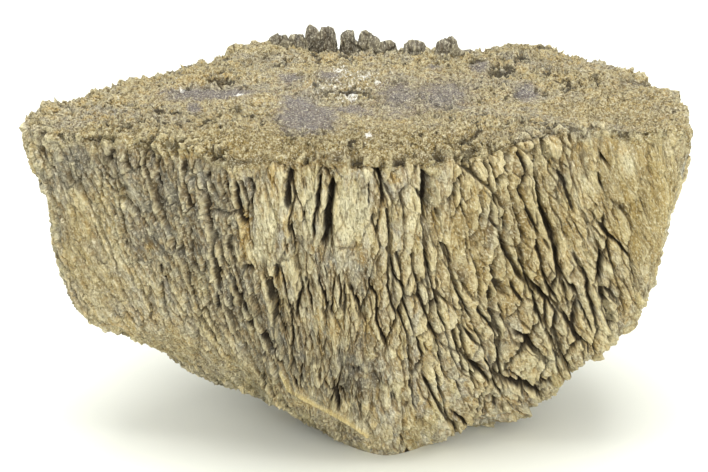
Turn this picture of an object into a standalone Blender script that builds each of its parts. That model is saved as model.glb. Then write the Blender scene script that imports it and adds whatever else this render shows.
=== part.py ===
"""Fossil bone section: the flared end of a large limb bone, broken across above and below.

The piece is one solid. Its top is a nearly level fracture through spongy bone, with a row of
broken stubs along the back rim. Its sides lean in and round under to a small flat spot, on
which it rests. Blender units are metres, +Z is up, and the front faces -Y. The origin is the
middle of the flat spot.
"""

import math

import bmesh
import bpy
import numpy as np

MM = 0.001

# The broken top edge, anticlockwise from the right: x, y and height of each turn of the rim, in mm.
RIM_MM = np.array((
    (71, -3, 82.0), (70, 14, 82.0), (60, 37, 82.0), (50, 55, 82.0), (43.5, 64, 83.0),
    (36, 61, 82.5), (28, 55, 81.5), (18, 57, 82.0), (4, 56, 82.0), (-14, 60, 82.0),
    (-32, 66, 82.5), (-42, 60, 82.0), (-50, 44, 82.0), (-56, 30, 82.0), (-65, 22, 82.0),
    (-74, 12, 82.0), (-83, -6, 81.5), (-87, -22, 81.0), (-75, -30, 81.0), (-55, -38, 82.0),
    (-43, -47, 82.0), (-32, -54, 82.0), (-18, -57, 82.0), (-4, -58, 82.0), (12, -55, 82.0),
    (24, -49, 82.7), (34, -43, 84.2), (46, -41, 85.3), (58, -40, 84.8), (67, -37, 83.5),
    (71, -28, 82.0), (71.5, -16, 82.0),
))

# The flat spot underneath: half its width, half its depth, and how far its outline is pinched
# from an ellipse (2.0) towards a diamond (1.0).
SPOT_HALF_X_MM = 21.0
SPOT_HALF_Y_MM = 30.0
SPOT_PINCH = 1.5

# The knee that each side bends round, for every 30 degrees from the left side: its share of
# the way from the spot out to the rim, and its share of the height.
KNEE_STEP_DEG = 30
KNEE_OUT = np.array((1.06, 1.00, 0.80, 0.60, 0.68, 0.80, 1.03, 1.02, 0.95, 0.92, 0.92, 1.00))
KNEE_UP = np.array((0.36, 0.36, 0.27, 0.26, 0.18, 0.15, 0.15, 0.20, 0.20, 0.20, 0.22, 0.30))

# Swells and hollows of the sides: direction and reach in degrees, share of the height and its
# reach, and size as a share of the way out.
SWELLS = (
    (-167, 22, 0.42, 0.09, 0.070),
    (-166, 22, 0.75, 0.14, -0.050),
    (-165, 16, 0.27, 0.05, -0.025),
    (-146, 24, 0.07, 0.08, -0.075),
    (-17, 24, 0.46, 0.17, 0.048),
    (-14, 16, 0.20, 0.07, -0.025),
    (-38, 18, 0.05, 0.06, 0.030),
    (96, 34, 0.52, 0.14, 0.050),
    (140, 26, 0.34, 0.12, -0.030),
)

# The row of broken stubs along the back rim: x and y of the middle, width, depth and height
# above the top face, and how far the tip leans to the right.
STUBS_MM = (
    (-26.0, 58.0, 9.0, 6.0, 3.4, 0.6),
    (-17.0, 56.0, 8.6, 6.5, 6.0, -0.5),
    (-7.6, 53.5, 7.4, 6.0, 5.4, 0.4),
    (0.6, 52.5, 8.0, 5.5, 3.3, 0.8),
    (10.0, 52.5, 8.4, 5.0, 2.8, 0.3),
    (18.0, 52.5, 5.6, 5.0, 4.2, 0.6),
    (38.0, 56.5, 6.0, 4.5, 2.4, -0.3),
)
STUB_ROOT_MM = 5.0
STUB_TIP_SHARE = 0.72

# The swell of the top face, and the lengths of its two waves.
TOP_SWELL_MM = 0.7
TOP_WAVES_MM = (46.0, 31.0)

COLUMNS = 72
WALL_RINGS = 25
TOP_RINGS = 9

BONE_COLOUR = (0.34, 0.28, 0.17, 1.0)
BONE_ROUGHNESS = 0.92


def clear_scene():
    """Removes every object that the file opened with."""
    for obj in list(bpy.data.objects):
        bpy.data.objects.remove(obj, do_unlink=True)


def closed_curve(angles, keys, values):
    """A smooth closed curve through values at rising key angles, as a Catmull-Rom spline."""
    count = len(keys)
    turn = (angles - keys[0]) % (2 * math.pi) + keys[0]
    left = np.searchsorted(keys, turn, side="right") - 1
    ends = np.append(keys, keys[0] + 2 * math.pi)
    along = (turn - ends[left]) / (ends[left + 1] - ends[left])
    before, here, after, beyond = (values[(left + step) % count] for step in (-1, 0, 1, 2))
    if values.ndim > 1:
        along = along[:, None]
    slope = after - before
    bend = 2 * before - 5 * here + 4 * after - beyond
    twist = 3 * (here - after) + beyond - before
    return here + 0.5 * along * (slope + along * (bend + along * twist))


def rim_points(angles):
    """The rim in mm, read in the given directions from the origin."""
    keys = np.unwrap(np.arctan2(RIM_MM[:, 1], RIM_MM[:, 0]))
    return closed_curve(angles, keys, RIM_MM)


def spot_points(angles):
    """The flat spot's outline in mm: an ellipse pinched towards a diamond."""
    across = np.abs(np.cos(angles) / SPOT_HALF_X_MM) ** SPOT_PINCH
    along = np.abs(np.sin(angles) / SPOT_HALF_Y_MM) ** SPOT_PINCH
    reach = (across + along) ** (-1 / SPOT_PINCH)
    return np.stack((reach * np.cos(angles), reach * np.sin(angles), 0 * reach), axis=1)


def wall_ring(angles, share):
    """One ring of the side in mm, a share of the way from the spot's edge up to the rim.

    Each side is a quadratic curve from the spot's edge to the rim that bends towards its knee.
    """
    rim = rim_points(angles)
    spot = spot_points(angles)
    keys = np.radians(np.arange(len(KNEE_OUT)) * KNEE_STEP_DEG - 180)
    pull = 2 * share * (1 - share)
    out = pull * closed_curve(angles, keys, KNEE_OUT) + share**2
    up = pull * closed_curve(angles, keys, KNEE_UP) + share**2
    for direction, reach, height, tall, size in SWELLS:
        turned = (np.degrees(angles) - direction + 180) % 360 - 180
        out = out + size * np.exp(-((turned / reach) ** 2) - ((up - height) / tall) ** 2)
    ring = spot + (rim - spot) * out[:, None]
    ring[:, 2] = rim[:, 2] * up
    return ring


def top_ring(angles, share):
    """One ring of the top face in mm, a share of the way from its middle out to the rim."""
    rim = rim_points(angles)
    ring = rim * share
    middle = RIM_MM[:, 2].mean()
    ring[:, 2] = middle + (rim[:, 2] - middle) * share**2
    long_wave, short_wave = TOP_WAVES_MM
    wave = np.sin(ring[:, 0] * 2 * math.pi / long_wave) * np.cos(ring[:, 1] * 2 * math.pi / short_wave)
    ring[:, 2] += TOP_SWELL_MM * wave * (1 - share**4)
    return ring


def join_rings(mesh, lower, upper):
    """Fills the band between two rings, each point facing its match in the other ring."""
    for n in range(COLUMNS):
        after = (n + 1) % COLUMNS
        mesh.faces.new((lower[n], lower[after], upper[after], upper[n]))


def bone_mesh():
    """The body: the flat spot, rings up the sides, and rings in over the top face."""
    angles = np.linspace(-math.pi, math.pi, COLUMNS, endpoint=False)
    mesh = bmesh.new()
    levels = [wall_ring(angles, n / WALL_RINGS) for n in range(WALL_RINGS + 1)]
    levels += [top_ring(angles, 1 - n / TOP_RINGS) for n in range(1, TOP_RINGS)]
    rings = [[mesh.verts.new(point * MM) for point in level] for level in levels]
    for lower, upper in zip(rings, rings[1:]):
        join_rings(mesh, lower, upper)
    mesh.faces.new(reversed(rings[0]))
    bmesh.ops.poke(mesh, faces=[mesh.faces.new(rings[-1])])
    return mesh


def add_stub(mesh, x, y, width, depth, height, lean):
    """One stub: a block with its foot in the top face and a smaller tip that leans aside."""
    foot = RIM_MM[:, 2].mean() - STUB_ROOT_MM
    for vert in bmesh.ops.create_cube(mesh, size=1.0)["verts"]:
        tip = vert.co.z > 0
        share = STUB_TIP_SHARE if tip else 1.0
        vert.co.x = (x + vert.co.x * width * share + (lean if tip else 0.0)) * MM
        vert.co.y = (y + vert.co.y * depth * share) * MM
        vert.co.z = (foot + (STUB_ROOT_MM + height if tip else 0.0)) * MM


def stubs_mesh():
    """All the stubs of the back rim."""
    mesh = bmesh.new()
    for stub in STUBS_MM:
        add_stub(mesh, *stub)
    return mesh


def add_object(name, mesh):
    """Turns a bmesh into an object in the scene."""
    data = bpy.data.meshes.new(name)
    mesh.to_mesh(data)
    mesh.free()
    obj = bpy.data.objects.new(name, data)
    bpy.context.scene.collection.objects.link(obj)
    return obj


def bone_material():
    """Tan fossil bone, rough and without shine."""
    material = bpy.data.materials.new("fossil_bone")
    material.use_nodes = True
    shader = material.node_tree.nodes["Principled BSDF"]
    shader.inputs["Base Color"].default_value = BONE_COLOUR
    shader.inputs["Roughness"].default_value = BONE_ROUGHNESS
    shader.inputs["Metallic"].default_value = 0.0
    return material


def join_stubs(bone):
    """Unites the stubs with the bone. Their own object stays as a hidden guide."""
    guide = add_object("stubs_guide", stubs_mesh())
    guide.hide_render = True
    guide.display_type = "WIRE"
    union = bone.modifiers.new("stubs", "BOOLEAN")
    union.operation = "UNION"
    union.solver = "EXACT"
    union.object = guide


clear_scene()
bone_section = add_object("bone_section", bone_mesh())
bone_section.data.materials.append(bone_material())
bone_section.data.shade_smooth()
bone_section.data.set_sharp_from_angle(angle=math.radians(40))
join_stubs(bone_section)
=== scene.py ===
import math

import bpy
import numpy as np
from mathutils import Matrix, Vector


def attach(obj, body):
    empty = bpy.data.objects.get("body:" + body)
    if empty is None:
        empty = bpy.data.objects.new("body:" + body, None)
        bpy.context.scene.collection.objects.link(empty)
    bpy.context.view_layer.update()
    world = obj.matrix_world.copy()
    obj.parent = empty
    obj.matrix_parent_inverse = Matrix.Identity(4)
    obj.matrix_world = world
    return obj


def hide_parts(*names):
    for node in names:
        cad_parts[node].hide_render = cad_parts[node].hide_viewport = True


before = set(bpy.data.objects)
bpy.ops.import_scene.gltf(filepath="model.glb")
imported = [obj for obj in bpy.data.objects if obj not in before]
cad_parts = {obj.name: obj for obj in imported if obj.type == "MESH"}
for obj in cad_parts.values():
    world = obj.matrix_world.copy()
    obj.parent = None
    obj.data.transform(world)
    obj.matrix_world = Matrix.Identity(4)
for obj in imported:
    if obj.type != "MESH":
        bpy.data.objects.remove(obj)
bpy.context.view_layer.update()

MM = 0.001


# The camera looks along +Y and 17 degrees down, from 0.6 m with a long lens, as for a small
# specimen on a table.
PICTURE_WIDE, PICTURE_HIGH = 708, 472
CAMERA_DOWN = math.radians(17.0)
CAMERA_REACH_MM = 600.0
CAMERA_AIM_MM = np.array((-8.0, -4.0, 48.4))
PIXELS_PER_RADIAN = 2400.0
SENSOR_MM = 36.0

camera_ahead = np.array((0.0, math.cos(CAMERA_DOWN), -math.sin(CAMERA_DOWN)))
camera_up = np.array((0.0, math.sin(CAMERA_DOWN), math.cos(CAMERA_DOWN)))
camera_right = np.array((1.0, 0.0, 0.0))
camera_place_mm = CAMERA_AIM_MM - CAMERA_REACH_MM * camera_ahead

camera = bpy.data.objects.new("camera", bpy.data.cameras.new("camera"))
bpy.context.scene.collection.objects.link(camera)
camera.location = Vector(camera_place_mm * MM)
camera.rotation_euler = (math.pi / 2 - CAMERA_DOWN, 0.0, 0.0)
camera.data.sensor_width = SENSOR_MM
camera.data.lens = PIXELS_PER_RADIAN * SENSOR_MM / PICTURE_WIDE
camera.data.clip_start = 0.01
bpy.context.scene.camera = camera


def seen_at(points_mm):
    """Where points lie in the picture, in pixels across and down from its top left corner."""
    away = points_mm - camera_place_mm
    scale = PIXELS_PER_RADIAN / (away @ camera_ahead)
    return PICTURE_WIDE / 2 + scale * away[..., 0], PICTURE_HIGH / 2 - scale * (away @ camera_up)


def sight_points(x_px, y_px, y_mm):
    """The points in mm where the sight lines at picture places cross the upright planes y_mm."""
    right = (x_px - PICTURE_WIDE / 2)[..., None] / PIXELS_PER_RADIAN * camera_right
    up = (PICTURE_HIGH / 2 - y_px)[..., None] / PIXELS_PER_RADIAN * camera_up
    sight = camera_ahead + right + up
    return camera_place_mm + sight * ((y_mm - camera_place_mm[1]) / sight[..., 1])[..., None]


# The studio: a seamless white table top, a broad soft light overhead, another one low in front
# and to the right, and white surroundings.
FLOOR_HALF_M = 3.0


def linear(colour):
    """A colour given as sRGB hex digits, as the four linear values that Blender takes."""
    parts = [int(colour[n:n + 2], 16) / 255 for n in (0, 2, 4)]
    return [c / 12.92 if c <= 0.04045 else ((c + 0.055) / 1.055) ** 2.4 for c in parts] + [1.0]


def add_node(tree, kind, settings=(), values=(), **links):
    """Adds a node, sets its settings and its inputs' values, and links sockets into it.

    Inputs are named by their label, or by their number as in_0; links join an output socket.
    """
    node = tree.nodes.new(kind)
    for name, value in dict(settings).items():
        setattr(node, name, value)
    for name, value in dict(values).items():
        node.inputs[name].default_value = value
    for name, socket in links.items():
        slot = int(name[3:]) if name.startswith("in_") else name.replace("_", " ")
        tree.links.new(socket, node.inputs[slot])
    return node


def new_material(name):
    """An empty node material and its Principled shader."""
    material = bpy.data.materials.new(name)
    material.use_nodes = True
    return material, material.node_tree, material.node_tree.nodes["Principled BSDF"]


def add_softbox(name, place_m, aim_m, size_m, watts):
    """A square soft light that faces a point."""
    light = bpy.data.objects.new(name, bpy.data.lights.new(name, "AREA"))
    light.data.size = size_m
    light.data.energy = watts
    light.location = place_m
    light.rotation_euler = (Vector(aim_m) - Vector(place_m)).to_track_quat("-Z", "Y").to_euler()
    bpy.context.scene.collection.objects.link(light)


floor_paint, tree, shader = new_material("white_table_top")
shader.inputs["Base Color"].default_value = linear("EDEFE5")
shader.inputs["Roughness"].default_value = 0.9
floor_mesh = bpy.data.meshes.new("table_top")
corners = [(x * FLOOR_HALF_M, y * FLOOR_HALF_M, 0) for x, y in ((-1, -1), (1, -1), (1, 1), (-1, 1))]
floor_mesh.from_pydata(corners, [], [(0, 1, 2, 3)])
floor_mesh.materials.append(floor_paint)
floor = bpy.data.objects.new("table_top", floor_mesh)
bpy.context.scene.collection.objects.link(floor)

add_softbox("overhead", (0.0, -0.10, 1.2), (0.0, 0.0, 0.05), 0.9, 12.5)
add_softbox("front_right", (0.40, -1.35, 0.36), (0.0, 0.0, 0.04), 0.8, 13.0)
world = bpy.data.worlds.new("white_room")
world.use_nodes = True
world.node_tree.nodes["Background"].inputs["Color"].default_value = linear("FFFFFF")
world.node_tree.nodes["Background"].inputs["Strength"].default_value = 1.08
bpy.context.scene.world = world
bpy.context.scene.view_settings.view_transform = "Standard"


# The bone's form: the flared end of a limb bone, mineral through and through. A broken rim,
# sides that lean in round a knee, and a small flat spot under it that it rests on.
RIM_MM = np.array((
    (71, -3, 82.0), (70, 14, 82.0), (60, 37, 82.0), (50, 55, 82.0), (43.5, 64, 83.0),
    (36, 61, 82.5), (28, 55, 81.5), (18, 57, 82.0), (4, 56, 82.0), (-14, 60, 82.0),
    (-32, 66, 82.5), (-42, 60, 82.0), (-50, 44, 82.0), (-56, 30, 82.0), (-65, 22, 82.0),
    (-74, 12, 82.0), (-83, -6, 81.5), (-87, -22, 81.0), (-75, -30, 81.0), (-55, -38, 82.0),
    (-43, -47, 82.0), (-32, -54, 82.0), (-18, -57, 82.0), (-4, -58, 82.0), (12, -55, 82.0),
    (24, -49, 82.7), (34, -43, 84.2), (46, -41, 85.3), (58, -40, 84.8), (67, -37, 83.5),
    (71, -28, 82.0), (71.5, -16, 82.0),
))
SPOT_HALF_X_MM, SPOT_HALF_Y_MM, SPOT_PINCH = 21.0, 30.0, 1.5
KNEE_STEP_DEG = 30
KNEE_OUT = np.array((1.06, 1.00, 0.80, 0.60, 0.68, 0.80, 1.03, 1.02, 0.95, 0.92, 0.92, 1.00))
KNEE_UP = np.array((0.36, 0.36, 0.27, 0.26, 0.18, 0.15, 0.15, 0.20, 0.20, 0.20, 0.22, 0.30))
SWELLS = (
    (-167, 22, 0.42, 0.09, 0.070), (-166, 22, 0.75, 0.14, -0.050), (-165, 16, 0.27, 0.05, -0.025),
    (-146, 24, 0.07, 0.08, -0.075), (-17, 24, 0.46, 0.17, 0.048), (-14, 16, 0.20, 0.07, -0.025),
    (-38, 18, 0.05, 0.06, 0.030), (96, 34, 0.52, 0.14, 0.050), (140, 26, 0.34, 0.12, -0.030),
)
TOP_SWELL_MM, TOP_WAVES_MM = 0.7, (46.0, 31.0)
RIM_LEVEL_MM = RIM_MM[:, 2].mean()
rim_keys = np.unwrap(np.arctan2(RIM_MM[:, 1], RIM_MM[:, 0]))
knee_keys = np.radians(np.arange(len(KNEE_OUT)) * KNEE_STEP_DEG - 180)


def closed_curve(angles, keys, values):
    """A smooth closed curve through values at rising key angles, as a Catmull-Rom spline."""
    count = len(keys)
    turn = (angles - keys[0]) % (2 * math.pi) + keys[0]
    left = np.searchsorted(keys, turn, side="right") - 1
    ends = np.append(keys, keys[0] + 2 * math.pi)
    along = (turn - ends[left]) / (ends[left + 1] - ends[left])
    before, here, after, beyond = (values[(left + step) % count] for step in (-1, 0, 1, 2))
    if values.ndim > 1:
        along = along[..., None]
    slope = after - before
    bend = 2 * before - 5 * here + 4 * after - beyond
    twist = 3 * (here - after) + beyond - before
    return here + 0.5 * along * (slope + along * (bend + along * twist))


def side_points(angles, share):
    """The side as a surface of direction and share of the way up from the flat spot's edge.

    Each upright line is a quadratic curve from the pinched ellipse of the spot to the rim,
    pulled towards the knee, plus Gaussian swells.
    """
    rim = closed_curve(angles, rim_keys, RIM_MM)
    across = np.abs(np.cos(angles) / SPOT_HALF_X_MM) ** SPOT_PINCH
    along = np.abs(np.sin(angles) / SPOT_HALF_Y_MM) ** SPOT_PINCH
    reach = (across + along) ** (-1 / SPOT_PINCH)
    spot = np.stack((reach * np.cos(angles), reach * np.sin(angles), 0 * reach), axis=-1)
    pull = 2 * share * (1 - share)
    out = pull * closed_curve(angles, knee_keys, KNEE_OUT) + share**2
    up = pull * closed_curve(angles, knee_keys, KNEE_UP) + share**2
    for direction, reach, height, tall, size in SWELLS:
        turned = (np.degrees(angles) - direction + 180) % 360 - 180
        out = out + size * np.exp(-((turned / reach) ** 2) - ((up - height) / tall) ** 2)
    points = spot + (rim - spot) * out[..., None]
    points[..., 2] = rim[..., 2] * up
    return points


def top_level(x, y, share):
    """Height of the smooth top face: level with the rim at its edge, in two slow waves."""
    rim = closed_curve(np.arctan2(y, x), rim_keys, RIM_MM)[..., 2]
    wave = np.sin(x * 2 * math.pi / TOP_WAVES_MM[0]) * np.cos(y * 2 * math.pi / TOP_WAVES_MM[1])
    level = RIM_LEVEL_MM + (rim - RIM_LEVEL_MM) * share**2
    return level + TOP_SWELL_MM * wave * (1 - share**4)


# The fibrous outer bone: limb bone turned to stone, its grain standing open in long bark-like
# plates, slivers and fibres with deep cracks between them. It goes round in six pieces, so
# that each can be fine enough, and each closes inside the stone.

# How far the pieces run down the side and in over the top, and how far each upright line turns
# on its way down, by its direction at the rim.
SIDE_MM, TOP_BAND_MM = 95.0, 12.0
TWIST_DEG = (
    (-270, 0), (-200, 0), (-130, 2), (-105, 13), (-90, 22), (-75, 36), (-60, 48), (-30, 55),
    (0, 46), (30, 31), (60, 15), (90, 0),
)
# How far the fibres lean, by the place across the grain in mm.
LEAN = (
    (-240, 0.1), (-150, 0.3), (-100, 0.50), (-75, 0.46), (-50, 0.30), (-35, 0.18), (-20, 0.07),
    (-8, 0.02), (5, 0.06), (20, 0.18), (35, 0.28), (50, 0.40), (75, 0.48), (120, 0.40), (230, 0.1),
)
LEAN_START_MM, LEAN_GUESSES, BEHIND_DEG = 15.0, 12, (90.0, 180.0)
FACING_STEP_MM, FACING_STEP_DEG = 3.5, 1.0
# The smooth side is measured every half degree round it and in 160 steps up it.
TABLE_ANGLES = np.radians(np.linspace(-280, 100, 761))
TABLE_SHARES = np.linspace(0, 1, 161)
HEART_MM = np.array((0.0, 0.0, 40.0))
PLATE_METRIC, PLATE_JITTER, BRICK_SHIFT = 0.65, 0.75, 0.25


def eased(low, high, value):
    """A smooth step: 0 up to low, 1 from high, and a cubic rise in between."""
    share = np.clip((value - low) / (high - low), 0, 1)
    return share * share * (3 - 2 * share)


def bell(distance, reach):
    """A bell curve: 1 at no distance, falling to 0 past the reach."""
    return np.exp(-((distance / reach) ** 2))


def trench(distance, reach):
    """A steep-sided groove: 1 up to half the reach, falling to 0 at one and a half times it."""
    return 1 - eased(0.5, 1.5, np.abs(distance) / reach)


def chance(column, row, seed):
    """A steady random number from 0 to 1 for each pair of whole numbers, by mixing their bits."""
    mixed = column.astype(np.int64) * 374761393 + row.astype(np.int64) * 668265263
    mixed = (mixed + seed * 974634777) & 0xFFFFFFFF
    mixed = ((mixed ^ (mixed >> 13)) * 1274126177) & 0xFFFFFFFF
    return ((mixed ^ (mixed >> 16)) & 0xFFFFFF) / 0x1000000


def cloud(x, y, seed):
    """Smooth noise from -1 to 1: random values at whole numbers, eased together in between."""
    left, low = np.floor(x), np.floor(y)
    share_x, share_y = eased(0, 1, x - left), eased(0, 1, y - low)
    below = chance(left, low, seed) * (1 - share_x) + chance(left + 1, low, seed) * share_x
    above = chance(left, low + 1, seed) * (1 - share_x) + chance(left + 1, low + 1, seed) * share_x
    return 2 * (below * (1 - share_y) + above * share_y) - 1


def clouds(x, y, layers):
    """Noises added up: each layer gives its size, its lengths along x and y, and a seed."""
    return sum(size * cloud(x / wide, y / long, seed) for size, wide, long, seed in layers)


def cells(x, y, wide, long, seed):
    """Plates with pointed ends: each point joins the nearest seed of a scattered lattice.

    The seeds stand brick-wise and distances count for less across the grain. Gives the place
    across the plate, about -1 to 1, the distance in mm to its border, which is the middle line
    between two seeds, how nearly that border runs along the grain, 0 to 1, and a random
    number for each plate.
    """
    def seeds(i, j):
        i, j = column + i, row + j
        seed_x = i + 0.5 + PLATE_JITTER * (chance(i, j, seed) - 0.5)
        brick = BRICK_SHIFT * (2 * (i % 2) - 1)
        seed_y = j + 0.5 + brick + PLATE_JITTER * (chance(i, j, seed + 1) - 0.5)
        return PLATE_METRIC * (seed_x - x), seed_y - y

    x, y = x / wide, y / long
    column, row = np.floor(x), np.floor(y)
    nearest, border = np.full(x.shape, np.inf), np.full(x.shape, np.inf)
    home = [np.zeros(x.shape) for _ in range(4)]
    ring = [(i, j) for i in (-2, -1, 0, 1, 2) for j in (-1, 0, 1)]
    for i, j in ring:
        seed_x, seed_y = seeds(i, j)
        distance = seed_x**2 + seed_y**2
        nearer = distance < nearest
        nearest = np.where(nearer, distance, nearest)
        found = (seed_x, seed_y, column + i, row + j)
        home = [np.where(nearer, new, old) for new, old in zip(found, home)]
    home_x, home_y, column, row = home
    lengthwise = np.zeros(x.shape)
    for i, j in ring:
        if i or j:
            seed_x, seed_y = seeds(i, j)
            gap_x, gap_y = seed_x - home_x, seed_y - home_y
            slope_x, slope_y = gap_x * PLATE_METRIC / wide, gap_y / long
            slope = np.hypot(slope_x, slope_y)
            middle = ((seed_x + home_x) * gap_x + (seed_y + home_y) * gap_y) / (2 * slope)
            lengthwise = np.where(middle < border, np.abs(slope_x) / slope, lengthwise)
            border = np.minimum(border, middle)
    return -2 / PLATE_METRIC * home_x, border, lengthwise, chance(column, row, seed + 2)


def side_tables():
    """Arc lengths on the smooth side in mm: round it from the front, and down from the rim."""
    points = side_points(*np.meshgrid(TABLE_ANGLES, TABLE_SHARES))
    steps = np.linalg.norm(np.diff(points, axis=1), axis=2)
    around = np.pad(np.cumsum(steps, axis=1), ((0, 0), (1, 0)))
    front = np.searchsorted(TABLE_ANGLES, -math.pi / 2)
    steps = np.linalg.norm(np.diff(points, axis=0), axis=2)
    up = np.pad(np.cumsum(steps, axis=0), ((1, 0), (0, 0)))
    return around - around[:, front:front + 1], up[-1] - up


def read_table(table, angles, shares):
    """Reads a table of the side between its entries, in straight lines both ways."""
    x = (angles - TABLE_ANGLES[0]) / (TABLE_ANGLES[1] - TABLE_ANGLES[0])
    y = shares * (len(TABLE_SHARES) - 1)
    left = np.clip(np.floor(x).astype(int), 0, len(TABLE_ANGLES) - 2)
    low = np.clip(np.floor(y).astype(int), 0, len(TABLE_SHARES) - 2)
    x, y = x - left, y - low
    lower = table[low, left] * (1 - x) + table[low, left + 1] * x
    return lower * (1 - y) + (table[low + 1, left] * (1 - x) + table[low + 1, left + 1] * x) * y


around_table, down_table = side_tables()


def bone_point(turns, depths):
    """The smooth surface, by the direction at the rim in degrees and the depth in mm.

    Above 0 the depth runs down the side, and the direction turns with the grain on the way;
    below 0 it runs in over the top.
    """
    share = 1 - np.clip(depths / SIDE_MM, 0, 1)
    angles = np.radians(turns + np.interp(turns, *zip(*TWIST_DEG)) * (1 - share))
    side = side_points(angles, share)
    rim = closed_curve(angles, rim_keys, RIM_MM)
    inward = 1 + np.minimum(depths, 0) / np.hypot(rim[..., 0], rim[..., 1])
    top = rim * inward[..., None]
    top[..., 2] = top_level(top[..., 0], top[..., 1], inward)
    return np.where((depths < 0)[..., None], top, side), angles, share


def bone_facing(turns, depths):
    """The way the smooth surface faces, from its slopes over a few millimetres each way.

    The steps are wide enough for the facing to turn slowly over the rim, so that relief sunk
    in there doesn't fold.
    """
    right, left = (bone_point(turns + step, depths)[0] for step in (FACING_STEP_DEG, -FACING_STEP_DEG))
    lower, upper = (bone_point(turns, depths + step)[0] for step in (FACING_STEP_MM, -FACING_STEP_MM))
    facing = np.cross(lower - upper, right - left)
    return facing / np.linalg.norm(facing, axis=-1, keepdims=True)


def grain_place(angles, share):
    """Where a point lies across and along the grain in mm.

    A fibre starts straight down from the rim and bends to its lean: its place round the side
    is its start plus lean times depth squared over depth plus a start length. The start is
    found by putting each guess back in a few times. Places round the side are measured at the
    point's own height in front, and at the rim behind, where the fibres draw together.
    """
    around, along = read_table(around_table, angles, share), read_table(down_table, angles, share)
    behind = eased(*BEHIND_DEG, np.abs(np.degrees(angles) + 90))
    around = around + behind * (read_table(around_table, angles, 0 * share + 1) - around)
    across = around
    for _ in range(LEAN_GUESSES):
        across = around - np.interp(across, *zip(*LEAN)) * along**2 / (along + LEAN_START_MM)
    return across, along


# Layers of the grain, coarse to fine: width, length, step, tilt, depth of the cracks, how wide
# they open on a piece's right and left, a seed, and how far it follows the roughness.
GRAIN_LAYERS = (
    (7.5, 40.0, 0.95, 0.65, 2.20, 0.24, 0.46, 11, 1.0),
    (3.3, 15.0, 0.80, 0.55, 1.60, 0.20, 0.32, 23, 0.9),
    (1.9, 6.0, 0.45, 0.36, 0.65, 0.13, 0.18, 37, 0.4),
    (0.95, 2.6, 0.26, 0.14, 0.30, 0.10, 0.12, 53, 0.1),
)
END_CRACK_SHARE, CRACK_WIDENS, RUST_MM, SHIFT_SHARE = 0.3, 0.6, 0.75, 0.22
CRACKS_OPEN, RUNS_ALONG = (-0.2, 0.6), (0.55, 0.95)
# Pieces are shorter on the left, by the place across the grain.
SHORTER = ((-240, 1.0), (-130, 1.5), (-60, 1.7), (-34, 1.0), (230, 1.0))
# How the grain wanders and swells: size in mm, lengths across and along, and a seed.
GRAIN_WANDER = ((1.5, 17, 45, 3), (0.6, 3.1, 9, 4), (0.22, 0.9, 1.6, 8))
GRAIN_SWELL = ((0.5, 16, 40, 5), (0.07, 0.45, 1.4, 6))


def bark(across, along, rough, cracked):
    """Relief of the open grain in mm, with how far each point lies in a crack and beside one.

    Every piece has its own height, rises from left to right, and ends in a steep-sided crack
    that is wider on the piece's left. Cracks follow the grain; where a border runs across it
    the crack is weaker, and by chance it stays shut. The random numbers of the pieces come too.
    """
    wander, height = clouds(across, along, GRAIN_WANDER), clouds(across, along, GRAIN_SWELL)
    lucks, cracks, beside = [], np.zeros(across.shape), np.zeros(across.shape)
    along = along * np.interp(across, *zip(*SHORTER))
    for wide, long, step, tilt, crack, right, left, seed, follows in GRAIN_LAYERS:
        shift = SHIFT_SHARE * long * cloud(across / (2 * wide), along / long, seed + 5)
        place, border, lengthwise, luck = cells(across + wander, along + shift, wide, long, seed)
        opened = cloud(across / (2.2 * wide), along / (0.6 * long), seed + 7) + cracked
        opened = eased(*CRACKS_OPEN, opened)
        opened *= END_CRACK_SHARE + (1 - END_CRACK_SHARE) * eased(*RUNS_ALONG, lengthwise)
        reach = np.where(place > 0, right, left) * (1 + CRACK_WIDENS * np.maximum(cracked, 0))
        groove = opened * trench(border, reach)
        amount = 1 - follows * (1 - rough)
        height += amount * (step * (2 * luck - 1) + tilt * place - crack * groove)
        cracks = np.maximum(cracks, amount * groove * min(crack, 1))
        beside = np.maximum(beside, amount * opened * bell(border, RUST_MM) * min(2 * crack, 1))
        lucks.append(luck)
    return height, cracks, beside, lucks


# Layers of the spongy bone: size of its meshes in mm, height of its struts, and a seed.
SPONGE_LAYERS = ((4.6, 0.45, 81), (1.9, 0.60, 91), (0.9, 0.45, 101))
STRUT_STRETCH, STRUT_POWER, PORE_RANGE = 1.5, 0.7, (0.15, 0.75)
CRUMB_MM, CRUMB_STRETCH, CRUMB_LUCK, CRUMB_HIGH_MM, CRUMB_EDGE_MM = 1.1, 1.6, (0.6, 0.8), 0.50, 0.18
# How it swells, as for the grain, how far it wanders, and how far it is worn in places.
SPONGE_SWELL = ((0.8, 17, 13, 73), (0.5, 6, 7, 74), (0.22, 0.45, 0.8, 76))
SPONGE_WANDER_MM, WORN_SHARE, WORN_RANGE = 1.2, 0.5, (0.0, 0.6)


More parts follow.
